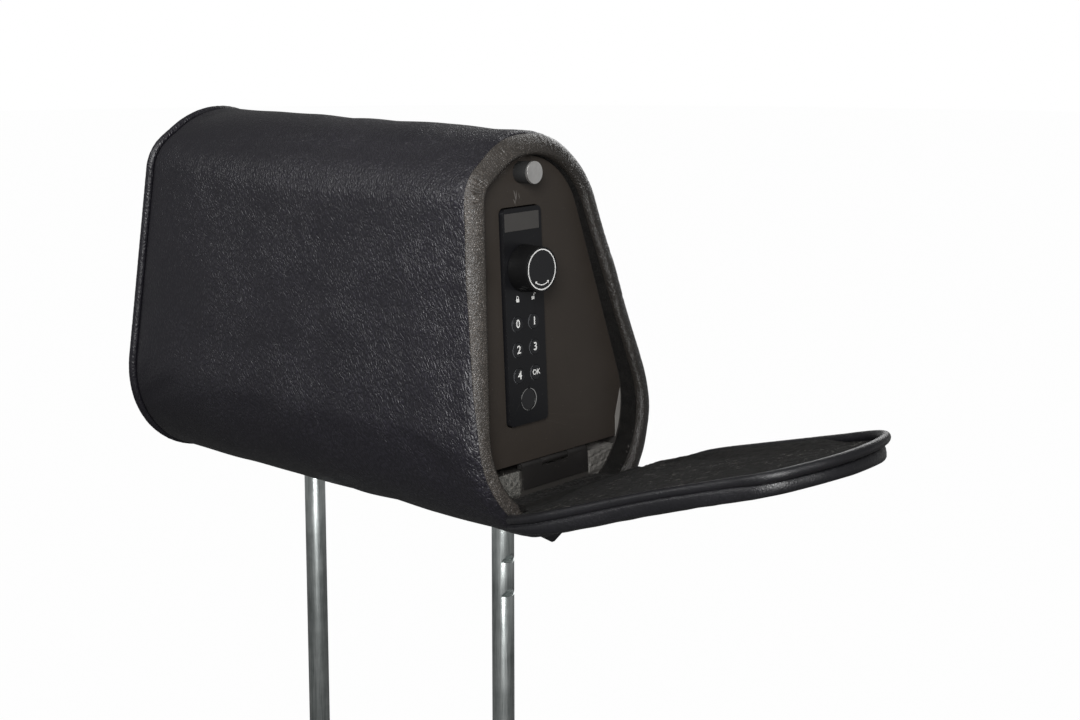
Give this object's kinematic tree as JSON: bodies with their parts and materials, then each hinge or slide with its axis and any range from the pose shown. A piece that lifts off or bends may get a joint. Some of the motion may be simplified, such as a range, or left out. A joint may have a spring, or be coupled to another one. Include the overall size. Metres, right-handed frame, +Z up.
{
  "type": "headrest safe",
  "caption": "Vehicle headrest with a steel safe inside: padded leather body, fold-down end flap over a keypad, fingerprint and knob lock door, and twin steel seat posts.",
  "frame": {"origin": "midway between the two posts' axes, on the underside of the padded body", "axes": "+X along the headrest towards the door end, +Y towards its rear face, +Z up"},
  "size_m": [0.4848, 0.1484, 0.4029],
  "materials": {
    "leather": "fine grain, semi-matte",
    "roll_leather": "soft, wrinkled, matte",
    "felt": "matte felt",
    "foam": "soft polyurethane foam",
    "board": "stiff fibre board",
    "post_steel": "brushed zinc plate",
    "zinc_steel": "zinc plate",
    "safe_steel": "matte powder coat",
    "hinge_steel": "black paint",
    "pin_steel": "plain steel",
    "mat_rubber": "matte",
    "panel_plastic": "satin gloss",
    "key_plastic": "matte",
    "knob_metal": "black anodised",
    "case_plastic": "matte",
    "window_plastic": "smooth",
    "ring_chrome": "polished",
    "sensor_glass": "dark, polished",
    "disc_steel": "brushed",
    "board_green": "solder mask",
    "bolt_steel": "ground steel",
    "gear_brass": "machined",
    "cell_wrap": "printed sleeve, left plain"
  },
  "bodies": {
    "headrest": {"leather_cover": "leather", "rim_roll": "roll_leather", "foam_core": "foam", "recess_lining": "felt", "sill_pad": "felt", "felt_patches": "felt", "far_panel": "leather", "far_pad": "foam", "far_piping": "leather", "hinge_tape": "leather", "post_plain": "post_steel", "post_notched": "post_steel", "post_saddle": "zinc_steel", "post_collars": "zinc_steel", "saddle_bolts": "zinc_steel", "saddle_nuts": "zinc_steel", "safe_shell": "safe_steel", "back_plate": "safe_steel", "door_frame": "safe_steel", "interior_mat": "mat_rubber", "frame_leaf": "hinge_steel", "hinge_pin": "pin_steel"},
    "door": {"door_panel": "safe_steel", "door_leaf": "hinge_steel", "catch_post": "case_plastic", "catch_disc": "disc_steel", "lock_bezel": "panel_plastic", "lock_case": "case_plastic", "circuit_board": "board_green", "clutch_motor": "zinc_steel", "label_window": "window_plastic", "finger_ring": "ring_chrome", "finger_sensor": "sensor_glass", "carrier_plate": "zinc_steel", "standoffs": "zinc_steel", "bolt_guides": "zinc_steel", "battery_box": "case_plastic", "batteries": "cell_wrap", "inner_cover": "case_plastic", "battery_lid": "case_plastic", "cover_screws": "zinc_steel"},
    "knob": {"knob": "knob_metal", "knob_face": "panel_plastic", "spindle": "pin_steel", "pinion": "gear_brass"},
    "front_bolt": {"bolt_front": "bolt_steel"},
    "rear_bolt": {"bolt_rear": "bolt_steel"},
    "top_bolt": {"bolt_top": "bolt_steel"},
    "key_0": {"key_0": "key_plastic"},
    "key_1": {"key_1": "key_plastic"},
    "key_2": {"key_2": "key_plastic"},
    "key_3": {"key_3": "key_plastic"},
    "key_4": {"key_4": "key_plastic"},
    "key_ok": {"key_ok": "key_plastic"},
    "flap": {"flap_cover": "leather", "flap_board": "board", "flap_felt": "felt", "flap_piping": "leather", "flap_strike": "zinc_steel", "flap_fold": "leather"}
  },
  "joints": [
    {"name": "flap_hinge", "type": "hinge", "parent": "headrest", "child": "flap", "pos_m": [0.15138, -0.0145, 0.02421], "axis": [0, 1, 0], "range_deg": [-78.25, 40]},
    {"name": "door_hinge", "type": "hinge", "parent": "headrest", "child": "door", "pos_m": [0.13011, -0.0145, 0.0372], "axis": [0, 1, 0], "range_deg": [0, 70]},
    {"name": "knob_turn", "type": "hinge", "parent": "door", "child": "knob", "pos_m": [0.12621, -0.0351, 0.14144], "axis": [0.9988, 0, 0.048], "range_deg": [-90, 0]},
    {"name": "front_bolt_slide", "type": "slide", "parent": "door", "child": "front_bolt", "axis": [0, 1, 0], "range_m": [-0.00661, 0]},
    {"name": "rear_bolt_slide", "type": "slide", "parent": "door", "child": "rear_bolt", "axis": [0, -1, 0], "range_m": [-0.00661, 0]},
    {"name": "top_bolt_slide", "type": "slide", "parent": "door", "child": "top_bolt", "axis": [0.048, 0, -0.9988], "range_m": [-0.00661, 0]},
    {"name": "key_0_press", "type": "slide", "parent": "door", "child": "key_0", "axis": [-0.9988, 0, -0.048], "range_m": [0, 0.0004], "stiffness_N_per_m": 400},
    {"name": "key_1_press", "type": "slide", "parent": "door", "child": "key_1", "axis": [-0.9988, 0, -0.048], "range_m": [0, 0.0004], "stiffness_N_per_m": 400},
    {"name": "key_2_press", "type": "slide", "parent": "door", "child": "key_2", "axis": [-0.9988, 0, -0.048], "range_m": [0, 0.0004], "stiffness_N_per_m": 400},
    {"name": "key_3_press", "type": "slide", "parent": "door", "child": "key_3", "axis": [-0.9988, 0, -0.048], "range_m": [0, 0.0004], "stiffness_N_per_m": 400},
    {"name": "key_4_press", "type": "slide", "parent": "door", "child": "key_4", "axis": [-0.9988, 0, -0.048], "range_m": [0, 0.0004], "stiffness_N_per_m": 400},
    {"name": "key_ok_press", "type": "slide", "parent": "door", "child": "key_ok", "axis": [-0.9988, 0, -0.048], "range_m": [0, 0.0004], "stiffness_N_per_m": 400}
  ],
  "couplings": [
    {"joint": "front_bolt_slide", "follows": "knob_turn", "m_per_rad": 0.0042},
    {"joint": "rear_bolt_slide", "follows": "knob_turn", "m_per_rad": 0.0042},
    {"joint": "top_bolt_slide", "follows": "knob_turn", "m_per_rad": 0.0042}
  ]
}
